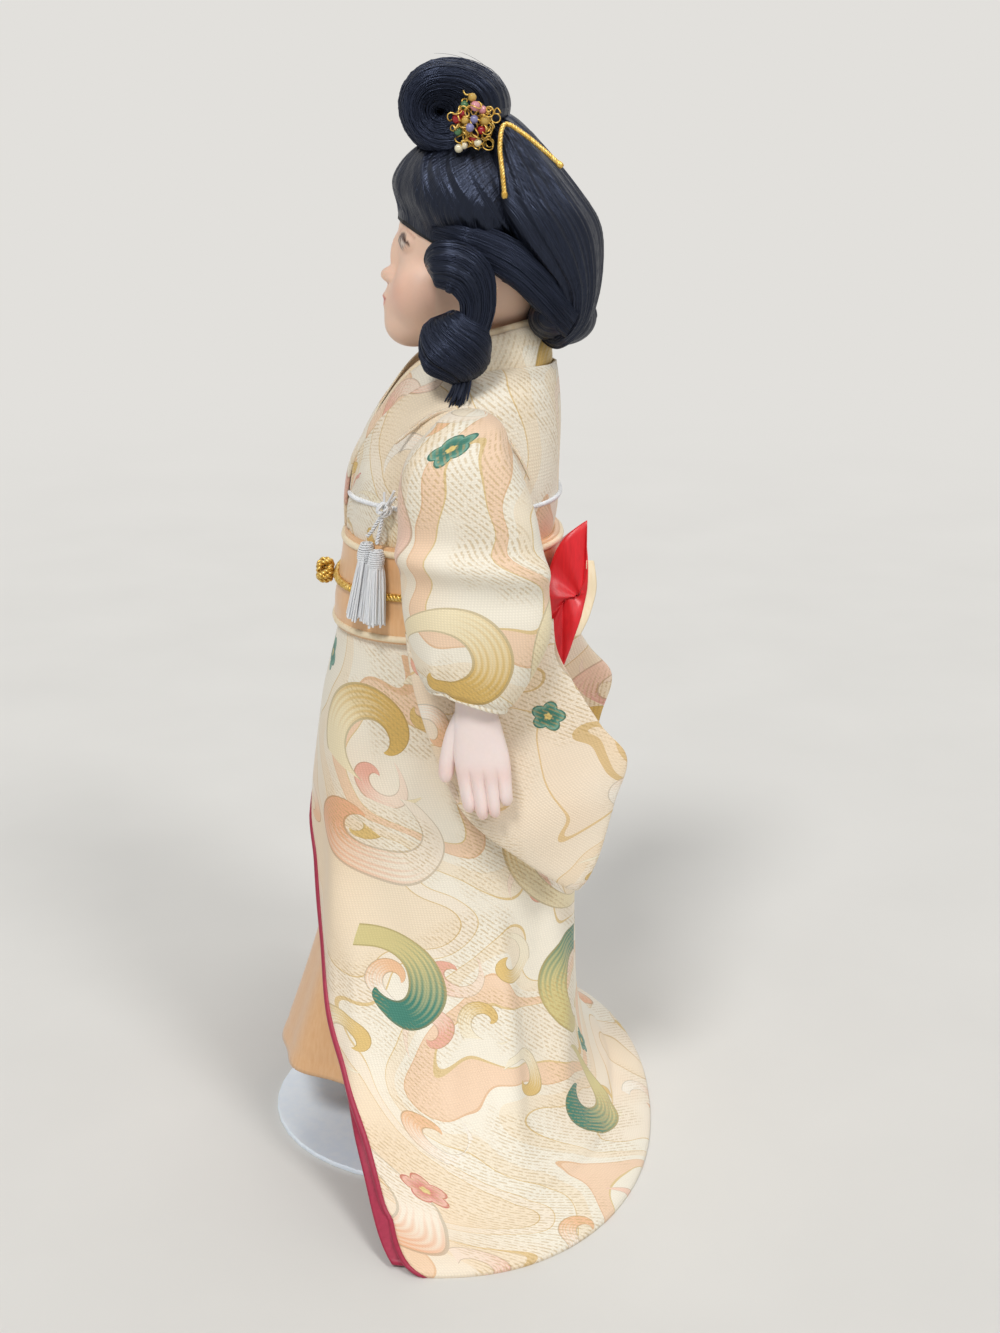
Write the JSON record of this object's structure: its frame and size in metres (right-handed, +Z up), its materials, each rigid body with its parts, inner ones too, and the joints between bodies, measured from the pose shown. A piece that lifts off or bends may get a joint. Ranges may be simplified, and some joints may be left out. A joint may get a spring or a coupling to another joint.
{
  "type": "costume doll",
  "caption": "Porcelain lady doll in a trailing brocade kimono with obi, bow and dressed wig; head turns, arms swing, and a waist clip holds it on a round height-adjustable stand.",
  "frame": {"origin": "middle of the stand base's underside, on the floor", "axes": "+Z up, the doll looks along -Y, its left side is +X"},
  "size_m": [0.244, 0.1495, 0.4],
  "materials": {
    "bisque": "matte",
    "brocade": "satin",
    "lining": "satin",
    "peach_satin": "satin",
    "red_satin": "satin",
    "hair": "gloss",
    "gold_braid": "satin",
    "white_thread": "matte",
    "enamel": "gloss",
    "wire": "satin",
    "muslin": "matte",
    "board": "matte",
    "flowers": "satin"
  },
  "bodies": {
    "stand": {"stand_base": "enamel", "post_screw": "wire", "stand_post": "enamel"},
    "doll": {"stand_rod": "wire", "waist_clip": "wire", "torso": "muslin", "left_upper_leg": "muslin", "right_upper_leg": "muslin", "left_lower_leg": "bisque", "right_lower_leg": "bisque", "shoulder_plate": "bisque", "arm_wire": "wire", "neck_spring": "wire", "neck_washer": "wire", "kimono_bodice": "brocade", "kimono_collar": "brocade", "under_collar": "peach_satin", "kimono_skirt": "brocade", "kimono_lining": "lining", "under_kimono": "peach_satin", "obi": "peach_satin", "obi_upper_piping": "peach_satin", "obi_lower_piping": "peach_satin", "obi_cord": "gold_braid", "obi_cord_knot": "gold_braid", "bow_knot": "red_satin", "bow_left_wing": "red_satin", "bow_right_wing": "red_satin", "chest_cord": "white_thread", "chest_knot": "white_thread"},
    "head": {"head": "bisque", "pate": "board", "neck_bolt": "wire", "neck_nut": "wire", "wig_cap": "muslin", "hair_crown": "hair", "hair_back": "hair", "hair_bun": "hair", "left_side_curl": "hair", "right_side_curl": "hair", "ornament_flowers": "flowers", "ornament_cord": "gold_braid"},
    "left_arm": {"left_upper_arm": "muslin", "left_forearm": "bisque", "left_sleeve": "brocade"},
    "right_arm": {"right_upper_arm": "muslin", "right_forearm": "bisque", "right_sleeve": "brocade"},
    "front_tassel": {"front_tassel": "white_thread"},
    "rear_tassel": {"rear_tassel": "white_thread"}
  },
  "joints": [
    {"name": "stand_height", "type": "slide", "parent": "stand", "child": "doll", "axis": [0, 0, 1], "range_m": [0, 0.04]},
    {"name": "neck_turn", "type": "hinge", "parent": "doll", "child": "head", "pos_m": [0, 0.026, 0.2913], "axis": [0, 0, 1], "range_deg": [-20, 20]},
    {"name": "left_shoulder", "type": "hinge", "parent": "doll", "child": "left_arm", "pos_m": [0.0343, 0.016, 0.27], "axis": [-1, 0, 0], "range_deg": [-15, 40]},
    {"name": "right_shoulder", "type": "hinge", "parent": "doll", "child": "right_arm", "pos_m": [-0.0343, 0.016, 0.27], "axis": [-1, 0, 0], "range_deg": [-15, 40]},
    {"name": "front_tassel_swing", "type": "hinge", "parent": "doll", "child": "front_tassel", "pos_m": [0.0367, -0.0142, 0.251], "axis": [-1, 0, 0], "range_deg": [0, 45]},
    {"name": "rear_tassel_swing", "type": "hinge", "parent": "doll", "child": "rear_tassel", "pos_m": [0.0367, -0.0142, 0.251], "axis": [-1, 0, 0], "range_deg": [0, 45]}
  ]
}
